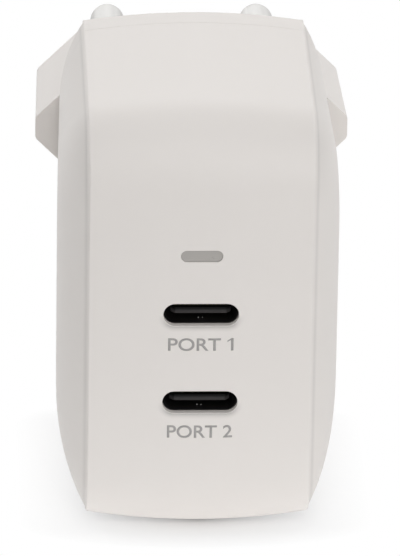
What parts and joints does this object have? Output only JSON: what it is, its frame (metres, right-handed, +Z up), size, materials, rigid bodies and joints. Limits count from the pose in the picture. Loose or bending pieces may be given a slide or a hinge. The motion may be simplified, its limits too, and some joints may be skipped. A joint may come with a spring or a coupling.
{
  "type": "wall charger",
  "caption": "Upright wall charger with a crowned housing, stacked slot ports and an indicator bar on the front, and a flat round-pin mains plug on the back.",
  "frame": {"origin": "on the surface the charger stands on, under the middle of its overall box", "axes": "+Z up from the foot, +Y towards the mains pins, so the ports face -Y, +X to the right seen from the ports"},
  "size_m": [0.0358, 0.0676, 0.0506],
  "materials": {
    "housing": "warm off-white moulded plastic, fine satin",
    "pin_metal": "nickel-plated brass",
    "sleeve": "off-white insulating sleeve",
    "strip_brass": "stamped brass",
    "light_guide": "grey frosted clear plastic",
    "lamp": "small moulded lamp",
    "board": "green circuit board",
    "black_plastic": "black moulded plastic",
    "ferrite": "sintered ferrite",
    "winding_tape": "yellow winding tape",
    "can_sleeve": "shrink sleeve on an aluminium can",
    "can_metal": "bare aluminium can",
    "copper_wire": "enamelled copper wire",
    "film_box": "yellow moulded box",
    "disc_coat": "blue dipped coat",
    "fuse_body": "ceramic tube with metal caps",
    "iron_powder": "pressed iron powder",
    "port_metal": "black-plated drawn steel",
    "contact_gold": "gold-plated contact"
  },
  "bodies": {
    "root": {"board_link": "black_plastic", "bridge_rectifier": "black_plastic", "buck_inductor_left": "iron_powder", "buck_inductor_right": "iron_powder", "bulk_capacitor_left": "can_sleeve", "bulk_capacitor_right": "can_sleeve", "contact_pin_left": "pin_metal", "contact_pin_right": "pin_metal", "contact_strip_left": "strip_brass", "contact_strip_right": "strip_brass", "disc_capacitor": "disc_coat", "film_capacitor": "film_box", "filter_choke_core": "ferrite", "filter_choke_winding": "copper_wire", "front_casing": "housing", "indicator_led": "lamp", "light_guide": "light_guide", "line_fuse": "fuse_body", "lower_port_contacts": "contact_gold", "lower_port_shell": "port_metal", "lower_port_tongue": "black_plastic", "main_board": "board", "output_capacitor_left": "can_metal", "output_capacitor_right": "can_metal", "output_rectifier": "black_plastic", "pin_sleeve_left": "sleeve", "pin_sleeve_right": "sleeve", "port_board": "board", "port_controller": "black_plastic", "power_switch": "black_plastic", "rear_cover": "housing", "transformer_bobbin": "black_plastic", "transformer_core_front": "ferrite", "transformer_core_rear": "ferrite", "transformer_winding": "winding_tape", "upper_port_contacts": "contact_gold", "upper_port_shell": "port_metal", "upper_port_tongue": "black_plastic"}
  },
  "joints": []
}
